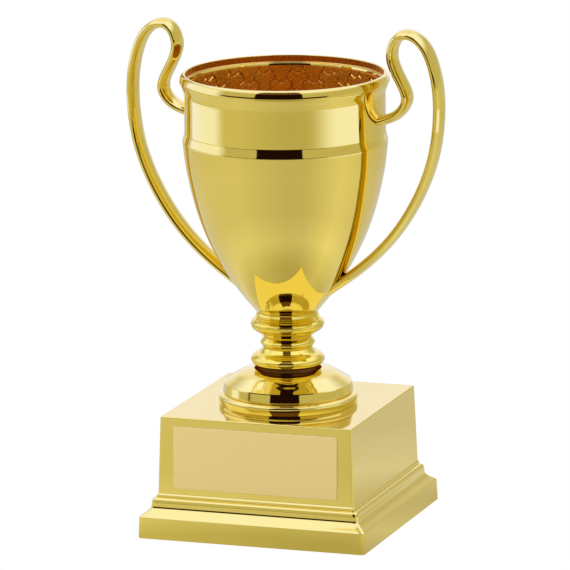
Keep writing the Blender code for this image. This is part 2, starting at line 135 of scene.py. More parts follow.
# Cup
BORE = 2.3
CUP_WALL = 1.5
CUP_BOTTOM = 75.5
CUP_BOTTOM_RADIUS = 10.7
CUP_FLOOR = 78.0
CUP_FLOOR_RADIUS = 7.0
LIP_TOP = 160.8
LIP_INNER_RADIUS = 34.8
LIP_OUTER_RADIUS = 36.1
RIM_RADIUS = 36.85
RIM_LOW = 158.0
LEDGE_TOP = 158.35
LEDGE_LOW = 157.35
LEDGE_INNER_RADIUS = 33.85
NECK_RADIUS = 35.3
NECK_TOP = 152.7
NECK_LOW = 140.0
BELT_RADIUS = 36.1
BELT_LOW = 136.8
INNER_WALL_RADIUS = NECK_RADIUS - CUP_WALL
LIP_ROLL = ((LIP_OUTER_RADIUS - 0.75, LIP_TOP), (LIP_OUTER_RADIUS - 0.35, LIP_TOP - 0.06),
            (LIP_OUTER_RADIUS + 0.08, LIP_TOP - 0.36), (LIP_OUTER_RADIUS + 0.36, LIP_TOP - 0.86),
            (LIP_OUTER_RADIUS + 0.56, LIP_TOP - 1.5), (RIM_RADIUS - 0.05, RIM_LOW + 0.6))
RIM_CREASE = ((RIM_RADIUS, RIM_LOW, 0.1), (RIM_RADIUS - 0.45, RIM_LOW - 0.4, 0.12))
CUP_SHOULDER = ((RIM_RADIUS - 0.42, RIM_LOW - 0.75), (36.1, 156.3), (35.62, 155.0), (35.37, 153.9),
                (NECK_RADIUS, NECK_TOP))
CUP_BELT = ((NECK_RADIUS, NECK_LOW, 2.2), (BELT_RADIUS, BELT_LOW + 0.05, 4.0))
CUP_FLANK = ((BELT_RADIUS, BELT_LOW), (34.85, 126.6), (31.9, 113.7), (28.1, 102.9), (22.7, 92.1),
             (17.1, 83.5), (CUP_BOTTOM_RADIUS, CUP_BOTTOM))
CUP_UNDERSIDE = ((CUP_BOTTOM_RADIUS, CUP_BOTTOM, 0.2), (BORE, CUP_BOTTOM), (BORE, CUP_FLOOR),
                 (CUP_FLOOR_RADIUS, CUP_FLOOR, 1.5))
LEDGE_EDGE = (LEDGE_INNER_RADIUS, LEDGE_LOW, 0.2)
LEDGE_AND_LIP = ((LEDGE_INNER_RADIUS + 0.17, LEDGE_TOP - 0.3, 0.25),
                 (LIP_INNER_RADIUS, LEDGE_TOP, 0.25), (LIP_INNER_RADIUS, LIP_TOP, 0.4))
PAINTED_SHADE_WALL_HEIGHTS = (CUP_FLOOR, LEDGE_LOW - 0.1)
PAINTED_SHADE_LIP_HEIGHTS = (LEDGE_TOP + 0.2, LIP_TOP - 0.3)

# Tiles embossed on the inside wall: three hexagonal lobes each, in rows that shrink with the wall
TILES_ROUND = 18
TILE_TURN = 191.6
TILE_ROW_TOP = 153.5
TILE_ROWS_ABOVE = 2
TILES_LOW = 96.0
TILES_BELOW_LEDGE = 0.35
TILE_HEIGHT = 0.4
TILE_ROOT = 0.08
TILE_GAP = 0.13
TILE_SLOPE = 0.34
TILE_SHARP_DEGREES = 20
TILE_ROW_PARTS = 12
WALL_STEP = 0.05
WALL_MARGIN = 6

# Handles
HANDLE_THICKNESS = 3.56
HANDLE_DEPTH = 9.2
HANDLE_ROUTE = ((30.0, 143.9), (34.6, 145.3), (39.5, 146.8), (42.9, 149.1), (45.1, 152.6),
                (44.9, 156.6), (41.0, 163.7), (39.4, 169.9), (42.2, 176.1), (47.7, 176.3),
                (52.9, 171.5), (56.1, 161.2), (56.9, 150.0), (55.6, 137.2), (52.5, 126.6),
                (47.6, 116.1), (40.6, 105.4), (32.3, 96.5), (24.2, 89.8), (17.4, 85.1),
                (12.2, 81.2))
HANDLE_SECTION_STEPS = 40
HANDLE_SPAN_STEPS = 14
HANDLE_FAIR_PASSES = 60
ENVELOPE_CORE = 0.5
ENVELOPE_STEPS = 128

# Stem
UPPER_WAIST = 66.5
LOWER_WAIST = 62.7
STEM_LOW = 56.6
UPPER_COLLAR = ((10.6, CUP_BOTTOM - SEAM, 0.15), (11.15, 74.1), (11.75, 73.1))
UPPER_RING = ((12.1, 72.7), (12.9, 71.9), (12.9, 70.8), (12.4, 69.8), (11.1, 68.7))
UPPER_GROOVES = (74.5, 73.9, 73.3, 72.7, 71.2, 69.9)
UPPER_FOOT = ((8.9, 67.2, 0.8), (8.4, UPPER_WAIST + SEAM / 2, 0.1))
MIDDLE_RING = ((8.4, UPPER_WAIST - SEAM / 2), (9.4, 65.2), (9.6, 64.4), (9.2, 63.6),
               (8.6, LOWER_WAIST + SEAM / 2))
LOWER_RING = ((8.6, LOWER_WAIST - SEAM / 2), (9.9, 61.1), (11.7, 60.3), (13.0, 58.9), (12.6, 57.3),
              (11.2, STEM_LOW))
GROOVE_DEPTH = 0.24
GROOVE_HALF_WIDTH = 0.16

# Foot
PLINTH_TOP = 42.9
FOOT_LOW = PLINTH_TOP + SEAM
FOOT_WALL = 1.7
FOOT_NECK_RADIUS = 11.3
FOOT_SHOULDER = 55.1
FOOT_NECK = ((FOOT_NECK_RADIUS, STEM_LOW - SEAM, 0.1), (FOOT_NECK_RADIUS, FOOT_SHOULDER + 0.1, 0.15))
FOOT_DOME = ((FOOT_NECK_RADIUS + 0.6, FOOT_SHOULDER), (16.4, 54.0), (19.7, 52.1), (22.5, 50.3))
FOOT_BAND = ((22.55, 50.0, 0.15), (23.15, 47.2, 0.2), (22.55, 46.75, 0.1))
FOOT_BEAD = ((23.3, 46.5), (24.45, 45.9), (24.7, 45.0), (24.6, 44.0), (24.35, FOOT_LOW))
FOOT_HOLLOW = ((21.2, FOOT_LOW), (21.2, 48.6, 0.5))

# Plinth box. The lip's points are (outwards, upwards, fillet radius) from the box's lower edge
PLINTH_LOW = 14.1
PLINTH_TOP_HALF = 35.3
PLINTH_LOW_HALF = 36.2
PLINTH_WALL = 2.0
PLINTH_CORNER = 0.6
PLINTH_TOP_FILLET = 0.45
PLINTH_EDGE_FILLET = 0.1
PLINTH_INSIDE_FILLET = 0.6
PLINTH_LIP = ((0.0, 1.25, 0.3), (0.4, 0.7, 0.25), (0.45, 0.0, 0.08))
PLINTH_HOLE_HALF = 3.0

# Plinth skirt
SKIRT_TOP = 14.1
SKIRT_HALF = 42.0
SKIRT_CORNER = 1.5
SLAB_TOP = 7.9
SKIRT_OPENING = 31.5
SKIRT_WALL = 2.4
COVER_SEAT = 3.6
SKIRT_LEDGE = ((SKIRT_OPENING, SKIRT_TOP), (36.9, SKIRT_TOP))
SKIRT_SHOULDER = ((37.0, 14.05), (37.55, 13.85), (37.95, 13.4), (38.12, 12.9))
SKIRT_BAND = ((38.22, 12.4, 0.3), (38.36, 10.95, 0.2), (38.45, 10.4, 0.15))
SKIRT_COVE = ((38.6, 10.15), (39.5, 9.25), (41.2, SLAB_TOP + 0.1))
SKIRT_SLAB = ((SKIRT_HALF - 0.28, SLAB_TOP - 0.3, 0.3), (SKIRT_HALF, 0.0, 0.3),
              (SKIRT_HALF - SKIRT_WALL, 0.0, 0.2))
SKIRT_SEAT = ((SKIRT_HALF - SKIRT_WALL, COVER_SEAT), (38.0, COVER_SEAT), (38.0, 6.0))
SKIRT_INSIDE = ((36.0, 8.0), (36.0, SKIRT_TOP - 2.0), (SKIRT_OPENING, SKIRT_TOP - 2.0))

# Nameplate
PLATE_WIDTH = 60.6
PLATE_HEIGHT = 22.4
PLATE_THICKNESS = 0.42
PLATE_CORNER = 0.5
PLATE_EDGE_DRAFT = 0.1
PLATE_EDGE_FILLET = 0.18
PLATE_BACK = 0.36

SIDES = (("left", -1), ("right", 1))


# ---------------------------------------------------------------- outlines
def smooth(points, steps):
    """Catmull-Rom curve through the points, with the given number of steps per span."""
    first = [2 * a - b for a, b in zip(points[0], points[1])]
    last = [2 * a - b for a, b in zip(points[-1], points[-2])]
    padded = [Vector(first)] + [Vector(p) for p in points] + [Vector(last)]
    curve = []
    for i in range(1, len(padded) - 2):
        p0, p1, p2, p3 = padded[i - 1:i + 3]
        for k in range(steps):
            t = k / steps
            curve.append(0.5 * (2 * p1 + (p2 - p0) * t + (2 * p0 - 5 * p1 + 4 * p2 - p3) * t ** 2
                                + (3 * p1 - p0 - 3 * p2 + p3) * t ** 3))
    curve.append(padded[-2])
    return [tuple(p) for p in curve]


def fair(points, passes):
    """Even out the curvature of a dense curve, keeping its two ends."""
    points = [Vector(p) for p in points]
    for _ in range(passes):
        middle = [(points[i - 1] + 2 * points[i] + points[i + 1]) / 4
                  for i in range(1, len(points) - 1)]
        points = [points[0]] + middle + [points[-1]]
    return points


def inset(points, distance):
    """Move an outline sideways by a distance, towards the axis on a downward outline."""
    moved = []
    for i, (r, z) in enumerate(points):
        before = points[max(i - 1, 0)]
        after = points[min(i + 1, len(points) - 1)]
        run = Vector((after[0] - before[0], after[1] - before[1])).normalized()
        moved.append((r + run.y * distance, z - run.x * distance))
    return moved


def rounded(points, steps=6):
    """Closed outline with its corners rounded. A point is (r, z) or (r, z, fillet radius).

    Each fillet has a holding point on both sides, so that smooth shading stays in the fillet."""
    outline = []
    count = len(points)
    for i, point in enumerate(points):
        here = Vector(point[:2])
        radius = point[2] if len(point) > 2 else 0
        if radius == 0:
            outline.append(here)
            continue
        before = Vector(points[i - 1][:2]) - here
        after = Vector(points[(i + 1) % count][:2]) - here
        half_angle = before.angle(after) / 2
        longest = FILLET_SHARE * min(before.length, after.length)
        cut = min(radius / math.tan(half_angle), longest)
        radius = cut * math.tan(half_angle)
        hold_before = min(HOLD, HOLD_SHARE * before.length)
        hold_after = min(HOLD, HOLD_SHARE * after.length)
        before.normalize()
        after.normalize()
        centre = here + (before + after).normalized() * radius / math.sin(half_angle)
        start = here + before * cut - centre
        end = here + after * cut - centre
        outline.append(centre + start + before * hold_before)
        for k in range(steps + 1):
            outline.append(centre + start.slerp(end, k / steps).normalized() * radius)
        outline.append(centre + end + after * hold_after)
    return [tuple(p) for p in outline]


# ---------------------------------------------------------------- mesh makers
def finish_mesh(name, bm, sharp_degrees=SHARP_DEGREES):
    """Turn a bmesh in millimetres into a smooth-shaded object in metres."""
    bmesh.ops.remove_doubles(bm, verts=bm.verts, dist=WELD)
    bmesh.ops.recalc_face_normals(bm, faces=bm.faces)
    bmesh.ops.scale(bm, vec=(MM, MM, MM), verts=bm.verts)
    mesh = bpy.data.meshes.new(name)
    bm.to_mesh(mesh)
    bm.free()
    mesh.shade_smooth()
    mesh.set_sharp_from_angle(angle=math.radians(sharp_degrees))
    obj = bpy.data.objects.new(name, mesh)
    bpy.context.scene.collection.objects.link(obj)
    return obj


def skin_rings(bm, rings, closed):
    """Quads between neighbouring rings of equally many vertices; closed joins last to first."""
    pairs = list(zip(rings, rings[1:]))
    if closed:
        pairs.append((rings[-1], rings[0]))
    for ring, following in pairs:
        for k in range(len(ring)):
            j = (k + 1) % len(ring)
            bm.faces.new((ring[k], ring[j], following[j], following[k]))


def circle(radius, z, steps):
    """Points round the Z axis at a height."""
    return [(radius * math.cos(2 * math.pi * k / steps), radius * math.sin(2 * math.pi * k / steps), z)
            for k in range(steps)]


def rounded_square(half_x, half_y, corner, z, steps=6):
    """Points round a rectangle with rounded corners and holding points beside them."""
    points = []
    hold = min(HOLD, HOLD_SHARE * corner)
    for quarter in range(4):
        start = math.pi / 2 * quarter
        sign_x = 1 if quarter in (0, 3) else -1
        sign_y = 1 if quarter in (0, 1) else -1
        centre = Vector((sign_x * (half_x - corner), sign_y * (half_y - corner), z))
        first = Vector((math.cos(start), math.sin(start), 0)) * corner
        last = Vector((-math.sin(start), math.cos(start), 0)) * corner
        points.append(centre + first - last.normalized() * hold)
        for k in range(steps + 1):
            angle = start + math.pi / 2 * k / steps
            points.append(centre + Vector((math.cos(angle), math.sin(angle), 0)) * corner)
        points.append(centre + last - first.normalized() * hold)
    return points


def lathe(name, outline, steps=LATHE_STEPS):
    """Solid of revolution from a closed outline of (radius, height) that keeps off the axis."""
    bm = bmesh.new()
    rings = [[bm.verts.new(p) for p in circle(r, z, steps)] for r, z in outline]
    skin_rings(bm, rings, True)
    return finish_mesh(name, bm)


def square_lathe(name, outline, corner):
    """Square moulding from a closed outline of (half-width, height), with rounded corners."""
    bm = bmesh.new()
    rings = [[bm.verts.new(p) for p in rounded_square(half, half, corner, z)] for half, z in outline]
    skin_rings(bm, rings, True)
    return finish_mesh(name, bm)


def cut_away(obj, cutter):
    """Boolean difference, applied, and the cutter removed."""
    modifier = obj.modifiers.new("Cut", "BOOLEAN")
    modifier.operation = "DIFFERENCE"
    modifier.solver = "EXACT"
    modifier.object = cutter
    graph = bpy.context.evaluated_depsgraph_get()
    mesh = bpy.data.meshes.new_from_object(obj.evaluated_get(graph))
    obj.modifiers.clear()
    obj.data = mesh
    bpy.data.objects.remove(cutter, do_unlink=True)
    mesh.shade_smooth()
    mesh.set_sharp_from_angle(angle=math.radians(SHARP_DEGREES))


def dress(obj, material, slot, *nodes):
    """Give a piece its material, its body and the CAD nodes that it stands for. The slot is not used."""
    obj.data.materials.clear()
    obj.data.materials.append(material)
    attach(obj, "root")
    if nodes:
        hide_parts(*nodes)


# ---------------------------------------------------------------- camera
def make_camera():
    """Place the camera by its angles, then shift it a little in its own plane."""
    azimuth = math.radians(CAMERA_AZIMUTH)
    elevation = math.radians(CAMERA_ELEVATION)
    back = Vector((math.sin(azimuth) * math.cos(elevation), -math.cos(azimuth) * math.cos(elevation),
                   math.sin(elevation)))
    level = Vector((0, 0, 1)).cross(back).normalized()
    upright = back.cross(level)
    roll = Matrix.Rotation(math.radians(CAMERA_ROLL), 3, back)
    right = roll @ level
    up = roll @ upright
    place = Vector(CAMERA_TARGET) + back * CAMERA_DISTANCE
    place += right * CAMERA_SIDEWAYS + up * CAMERA_UPWARDS
    data = bpy.data.cameras.new("camera")
    data.lens = CAMERA_LENS
    data.sensor_width = SENSOR_WIDTH
    data.clip_start = 0.1
    data.clip_end = 100
    camera = bpy.data.objects.new("camera", data)
    bpy.context.scene.collection.objects.link(camera)
    turn = Matrix((right, up, back)).transposed().to_4x4()
    camera.matrix_world = Matrix.Translation(place * MM) @ turn
    bpy.context.scene.camera = camera


# ---------------------------------------------------------------- stage
def add_node(tree, kind, **values):
    """New shader node with its socket values and settings."""
    node = tree.nodes.new(kind)
    for key, value in values.items():
        if key in node.inputs:
            node.inputs[key].default_value = value
        else:
            setattr(node, key, value)
    return node


def glow_material(name, colour, strength, seen_white=False):
    """Light-giving surface that fades out with its "fade" attribute.

    With seen_white it is whole, and the camera itself sees it white."""
    material = bpy.data.materials.new(name)
    material.use_nodes = True
    tree = material.node_tree
    tree.nodes.clear()
    output = tree.nodes.new("ShaderNodeOutputMaterial")
    glow = add_node(tree, "ShaderNodeEmission", Color=(*colour, 1), Strength=strength)
    glow.name = "glow"
    mix = tree.nodes.new("ShaderNodeMixShader")
    if seen_white:
        factor = tree.nodes.new("ShaderNodeLightPath").outputs["Is Camera Ray"]
        white = add_node(tree, "ShaderNodeEmission", Color=(1, 1, 1, 1), Strength=1)
        first, second = glow, white
    else:
        factor = add_node(tree, "ShaderNodeAttribute", attribute_name="fade").outputs["Fac"]
        first, second = tree.nodes.new("ShaderNodeBsdfTransparent"), glow
    tree.links.new(factor, mix.inputs[0])
    tree.links.new(first.outputs[0], mix.inputs[1])
    tree.links.new(second.outputs[0], mix.inputs[2])
    tree.links.new(mix.outputs[0], output.inputs["Surface"])
    return material


def ease(value):
    """Smooth step from 0 to 1."""
    value = max(0.0, min(1.0, value))
    return value * value * (3 - 2 * value)


def card_mesh(name, azimuths, heights, distance, fades):
    """Curved card round the object, seen from the camera's side, with its light in "fade"."""
    first, last = azimuths
    bm = bmesh.new()
    layer = bm.verts.layers.float.new("fade")
    rows = []
    for z, share in heights:
        row = []
        for k in range(CARD_STEPS + 1):
            azimuth = first + (last - first) * k / CARD_STEPS
            angle = math.radians(CAMERA_AZIMUTH + azimuth)
            vertex = bm.verts.new((distance * math.sin(angle), -distance * math.cos(angle), z))
            vertex[layer] = share * ease((azimuth - first) / fades[0]) * ease((last - azimuth) / fades[1])
            row.append(vertex)
        rows.append(row)
    for low, high in zip(rows, rows[1:]):
        for k in range(CARD_STEPS):
            bm.faces.new((low[k], low[k + 1], high[k + 1], high[k]))
    return finish_mesh(name, bm)


def make_world():
    """White for the camera; for everything else mid-tone low down and bright overhead."""
    world = bpy.data.worlds.new("studio")
    world.use_nodes = True
    bpy.context.scene.world = world
    tree = world.node_tree
    tree.nodes.clear()
    output = tree.nodes.new("ShaderNodeOutputWorld")
    path = tree.nodes.new("ShaderNodeLightPath")
    coordinates = tree.nodes.new("ShaderNodeTexCoord")
    split = tree.nodes.new("ShaderNodeSeparateXYZ")
    ramp = tree.nodes.new("ShaderNodeValToRGB")
    low, high = ramp.color_ramp.elements
    low.position, low.color = WORLD_LOW
    high.position, high.color = WORLD_HIGH
    studio = add_node(tree, "ShaderNodeBackground", Strength=WORLD_STRENGTH)
    white = add_node(tree, "ShaderNodeBackground", Color=(1, 1, 1, 1), Strength=1)
    mix = tree.nodes.new("ShaderNodeMixShader")
    tree.links.new(coordinates.outputs["Generated"], split.inputs[0])
    tree.links.new(split.outputs["Z"], ramp.inputs[0])
    tree.links.new(ramp.outputs[0], studio.inputs["Color"])
    tree.links.new(path.outputs["Is Camera Ray"], mix.inputs[0])
    tree.links.new(studio.outputs[0], mix.inputs[1])
    tree.links.new(white.outputs[0], mix.inputs[2])
    tree.links.new(mix.outputs[0], output.inputs["Surface"])


def fill_ramp(ramp, stops):
    """Set a colour ramp to (position, colour) stops."""
    elements = ramp.color_ramp.elements
    while len(elements) < len(stops):
        elements.new(1.0)
    for element, (position, colour) in zip(elements, stops):
        element.position = position
        element.color = (*colour, 1)


def make_floor():
    """Pale paper whose glow varies with the distance from the object and the side it lies on."""
    bm = bmesh.new()
    bmesh.ops.create_grid(bm, x_segments=1, y_segments=1, size=FLOOR_HALF)
    bmesh.ops.translate(bm, vec=(0, 0, FLOOR_Z), verts=bm.verts)
    floor = finish_mesh("floor", bm)
    material = glow_material("floor_paper", (1, 1, 1), 1.0, True)
    tree = material.node_tree
    coordinates = tree.nodes.new("ShaderNodeTexCoord").outputs["Object"]
    length = add_node(tree, "ShaderNodeVectorMath", operation="LENGTH")
    near_far = tree.nodes.new("ShaderNodeValToRGB")
    fill_ramp(near_far, FLOOR_GLOW)
    turn = tree.nodes.new("ShaderNodeMapping")
    turn.inputs["Rotation"].default_value = (0, 0, math.radians(90 - CAMERA_AZIMUTH))
    angle = add_node(tree, "ShaderNodeTexGradient", gradient_type="RADIAL")
    sides = tree.nodes.new("ShaderNodeValToRGB")
    fill_ramp(sides, [(0.5 + degrees / 360, (value, value, value)) for degrees, value in FLOOR_SIDES])
    product = add_node(tree, "ShaderNodeVectorMath", operation="MULTIPLY")
    tree.links.new(coordinates, length.inputs[0])
    tree.links.new(length.outputs["Value"], near_far.inputs[0])
    tree.links.new(coordinates, turn.inputs["Vector"])
    tree.links.new(turn.outputs["Vector"], angle.inputs["Vector"])
    tree.links.new(angle.outputs["Fac"], sides.inputs[0])
    tree.links.new(near_far.outputs[0], product.inputs[0])
    tree.links.new(sides.outputs[0], product.inputs[1])
    tree.links.new(product.outputs[0], tree.nodes["glow"].inputs["Color"])
    floor.data.materials.append(material)


def make_cards():
    """Light and dark cards, which only the object sees."""
    glows = {name: glow_material(name, *glow) for name, glow in GLOWS.items()}
    for name, glow, azimuths, heights, distance, fades in CARDS:
        card = card_mesh(name, azimuths, heights, distance, fades)
        card.data.materials.append(glows[glow])
        card.visible_camera = False
        card.visible_glossy = name not in CARDS_NOT_REFLECTED
        card.visible_diffuse = name not in CARDS_ONLY_REFLECTED


def make_stage():
    """Studio round the object, shown with plain colours."""
    view = bpy.context.scene.view_settings
    view.view_transform = "Standard"
    view.look = "None"
    make_world()
    make_floor()
    make_cards()


# ---------------------------------------------------------------- materials
def surface_tree(name):
    """New material with its shader and object coordinates: (material, tree, shader, coordinates)."""
    material = bpy.data.materials.new(name)
    material.use_nodes = True
    tree = material.node_tree
    shader = tree.nodes["Principled BSDF"]
    coordinates = tree.nodes.new("ShaderNodeTexCoord")
    return material, tree, shader, coordinates.outputs["Object"]


def noise(tree, where, scale, detail, stretch=(1, 1, 1)):
    """Noise over object coordinates in metres."""
    mapping = add_node(tree, "ShaderNodeMapping", Scale=stretch)
    texture = add_node(tree, "ShaderNodeTexNoise", Scale=scale, Detail=detail)
    tree.links.new(where, mapping.inputs["Vector"])
    tree.links.new(mapping.outputs["Vector"], texture.inputs["Vector"])
    return texture.outputs["Fac"]


def remap(tree, value, low, high):
    """Spread the usual range of a noise over low to high."""
    limits = {"From Min": GRAIN_LOW, "From Max": GRAIN_HIGH, "To Min": low, "To Max": high}
    node = add_node(tree, "ShaderNodeMapRange", **limits)
    tree.links.new(value, node.inputs["Value"])
    return node.outputs["Result"]


def blend_colours(tree, factor, first, second):
    """Mix two colours by a factor."""
    node = add_node(tree, "ShaderNodeMix", data_type="RGBA", A=(*first, 1), B=(*second, 1))
    tree.links.new(factor, node.inputs["Factor"])
    return node.outputs["Result"]


def bump(tree, shader, height, strength, depth):
    """Bump the shader's normal by a height, at a depth in millimetres."""
    node = add_node(tree, "ShaderNodeBump", Strength=strength, Distance=depth * MM)
    tree.links.new(height, node.inputs["Height"])
    tree.links.new(node.outputs["Normal"], shader.inputs["Normal"])


def gold_material(name, finish, special=None):
    """Metallised gold under clear lacquer, with faint moulding waves and fine dust in the gloss.

    special holds the shader values in which a finish differs from the others."""
    light, deep, roughness, wave, lacquer = finish
    material, tree, shader, where = surface_tree(name)
    settings = {"Metallic": 1.0, "Coat Weight": lacquer, "Coat Roughness": 0.02, "Coat IOR": 1.5}
    for socket, value in {**settings, **(special or {})}.items():
        shader.inputs[socket].default_value = value
    tone = noise(tree, where, scale=35, detail=3)
    dust = noise(tree, where, scale=1400, detail=4)
    waves = noise(tree, where, scale=110, detail=1)
    tree.links.new(blend_colours(tree, tone, light, deep), shader.inputs["Base Color"])
    tree.links.new(remap(tree, dust, roughness * 0.7, roughness * 1.4), shader.inputs["Roughness"])
    bump(tree, shader, waves, strength=1.0, depth=wave)
    return material


def grained_material(name, metallic, grain, tones, roughness, strength, depth):
    """Surface whose colour, gloss and bump all follow one grain, given as noise settings."""
    material, tree, shader, where = surface_tree(name)
    shader.inputs["Metallic"].default_value = metallic
    pattern = noise(tree, where, **grain)
    tree.links.new(blend_colours(tree, pattern, *tones), shader.inputs["Base Color"])
    tree.links.new(remap(tree, pattern, *roughness), shader.inputs["Roughness"])
    bump(tree, shader, pattern, strength, depth)
    return material


def satin_material():
    """Fine-grained satin plate, brushed along its length."""
    return grained_material("satin_gold_plate", metallic=0.0,
                            grain={"scale": 2600, "detail": 3, "stretch": (0.12, 1, 1)},
                            tones=((1.0, 0.75, 0.23), (0.98, 0.73, 0.22)),
                            roughness=(0.50, 0.58), strength=0.12, depth=0.004)


def plastic_material():
    """Black moulded plastic with a spark-eroded texture."""
    return grained_material("black_moulded_plastic", metallic=0.0,
                            grain={"scale": 2200, "detail": 3},
                            tones=((0.018, 0.018, 0.019), (0.028, 0.028, 0.030)),
                            roughness=(0.45, 0.62), strength=0.5, depth=0.04)


def steel_material():
    """Zinc-plated steel with a mottled passivation."""
    material, tree, shader, where = surface_tree("zinc_plate")
    shader.inputs["Metallic"].default_value = 1.0
    mottle = noise(tree, where, scale=700, detail=4)
    tones = (0.62, 0.62, 0.60), (0.50, 0.51, 0.50)
    tree.links.new(blend_colours(tree, mottle, *tones), shader.inputs["Base Color"])
    tree.links.new(remap(tree, mottle, 0.22, 0.42), shader.inputs["Roughness"])
    bump(tree, shader, noise(tree, where, scale=3000, detail=2), strength=0.2, depth=0.02)
    return material


def iron_material():
    """Cast ballast with a rough skin and a little rust."""
    material, tree, shader, where = surface_tree("cast_iron_skin")
    shader.inputs["Metallic"].default_value = 0.8
    skin = noise(tree, where, scale=450, detail=6)
    rust = noise(tree, where, scale=90, detail=5)
    tones = (0.20, 0.19, 0.18), (0.24, 0.15, 0.09)
    tree.links.new(blend_colours(tree, rust, *tones), shader.inputs["Base Color"])
    tree.links.new(remap(tree, skin, 0.55, 0.8), shader.inputs["Roughness"])
    bump(tree, shader, skin, strength=0.7, depth=0.2)
    return material


def foam_material():
    """Black cellular foam: small open cells, dull and slightly dusty."""
    material, tree, shader, where = surface_tree("cell_foam")
    shader.inputs["Sheen Weight"].default_value = 0.25
    cells = add_node(tree, "ShaderNodeTexVoronoi", Scale=1300.0)
    tree.links.new(where, cells.inputs["Vector"])
    tones = (0.018, 0.018, 0.019), (0.055, 0.054, 0.052)
    tree.links.new(blend_colours(tree, cells.outputs["Distance"], *tones), shader.inputs["Base Color"])
    dust = noise(tree, where, scale=300, detail=3)
    tree.links.new(remap(tree, dust, 0.85, 0.98), shader.inputs["Roughness"])
    bump(tree, shader, cells.outputs["Distance"], strength=0.8, depth=0.2)
    return material


# ---------------------------------------------------------------- cup
def cup_outside():
    """Outside of the cup from the lip down to its bottom edge."""
    lip = smooth(LIP_ROLL, steps=6) + list(RIM_CREASE)
    neck = smooth(CUP_SHOULDER, steps=8) + list(CUP_BELT)
    return lip + neck + smooth(CUP_FLANK, steps=10)[1:-1]


def inner_wall():
    """Inside wall from the floor's edge up to the ledge below the rim."""
    flank = inset(smooth(CUP_FLANK[:-1], steps=8), CUP_WALL)[::-1]
    return flank + [(INNER_WALL_RADIUS, NECK_LOW), LEDGE_EDGE]


def make_cup(gold, wall_painted_shade, lip_painted_shade):
    """Cup bowl, bright gold outside, with painted shade inside its wall and lip: a darker, redder gold.
    """
    outline = cup_outside() + list(CUP_UNDERSIDE) + inner_wall() + list(LEDGE_AND_LIP)
    cup = lathe("cup_shell", rounded(outline))
    dress(cup, gold, "bright_gold", "cup_bowl")
    cup.data.materials.append(wall_painted_shade)
    cup.data.materials.append(lip_painted_shade)
    # Inward-facing faces at the heights of the wall and of the lip get the golds with painted shade
    for face in cup.data.polygons:
        centre = face.center
        if Vector((centre.x, centre.y, 0)).dot(face.normal) > 0:
            continue
        for index, (low, high) in enumerate((PAINTED_SHADE_WALL_HEIGHTS, PAINTED_SHADE_LIP_HEIGHTS), start=1):
            if low * MM < centre.z < high * MM:
                face.material_index = index


def wall_radius(z):
    """Radius of the inside wall at a height."""
    wall = inner_wall()
    for (low_r, low_z, *_), (high_r, high_z, *_) in zip(wall, wall[1:]):
        if low_z <= z <= high_z:
            return low_r + (high_r - low_r) * (z - low_z) / (high_z - low_z)
    return INNER_WALL_RADIUS


def wall_heights(step):
    """Heights down the wall at equal steps of slant length over radius, so tiles keep their shape."""
    heights = {0: TILE_ROW_TOP}
    for direction in (1, -1):
        z = TILE_ROW_TOP
        travelled = 0.0
        count = 0
        while TILES_LOW - WALL_MARGIN < z < LEDGE_LOW + WALL_MARGIN:
            rise = wall_radius(z + WALL_STEP) - wall_radius(z - WALL_STEP)
            slope = rise / (2 * WALL_STEP)
            travelled += WALL_STEP * math.hypot(1, slope) / wall_radius(z)
            z += direction * WALL_STEP
            if travelled >= step:
                travelled -= step
                count += direction
                heights[count] = z
    return heights


def tile_outline(side, shrink):
    """Outline of three upright hexagons that share a corner, two above and one below.

    shrink moves every edge inwards."""
    corner = side / math.sqrt(3)
    left = Vector((-side / 2, 0.0))
    right = Vector((side / 2, 0.0))
    stem = Vector((0.0, -1.5 * corner))
    spokes = [Vector((math.cos(math.radians(a)), math.sin(math.radians(a)))) * corner
              for a in (30, 90, 150, 210, 270, 330)]
    loop = [right + spokes[5], right + spokes[0], right + spokes[1], right + spokes[2],
            left + spokes[1], left + spokes[2], left + spokes[3], left + spokes[4],
            stem + spokes[3], stem + spokes[4], stem + spokes[5], stem + spokes[0]]
    shrunk = []
    for i, point in enumerate(loop):
        before = (point - loop[i - 1]).normalized()
        after = (loop[(i + 1) % len(loop)] - point).normalized()
        inward = Vector((-before.y, before.x)) + Vector((-after.y, after.x))
        shrunk.append(point + inward * shrink / (1 + before.dot(after)))
    return shrunk


def clip_above(points, limit):
    """Cut a polygon off above a height."""
    kept = []
    for i, point in enumerate(points):
        before = points[i - 1]
        if (before.y > limit) != (point.y > limit):
            share = (limit - before.y) / (point.y - before.y)
            kept.append(before.lerp(point, share))
        if point.y <= limit:
            kept.append(point)
    return kept


def add_tile(bm, plans, height_at):
    """Add one tile from its plans, which are (outline, rise off the wall) at its root and its top."""
    loops = []
    for outline, rise in plans:
        loop = []
        for p in outline:
            z = height_at(p.y)
            radius = wall_radius(z) - rise
            loop.append(bm.verts.new((radius * math.sin(p.x), -radius * math.cos(p.x), z)))
        loops.append(loop)
    first_side = len(bm.faces)
    skin_rings(bm, loops, False)
    bm.faces.ensure_lookup_table()
    # The tile's sides take the second material, the dull gold with painted highlights along the bevels
    for face in bm.faces[first_side:]:
        face.material_index = 1
    for loop in loops:
        bm.faces.new(loop)


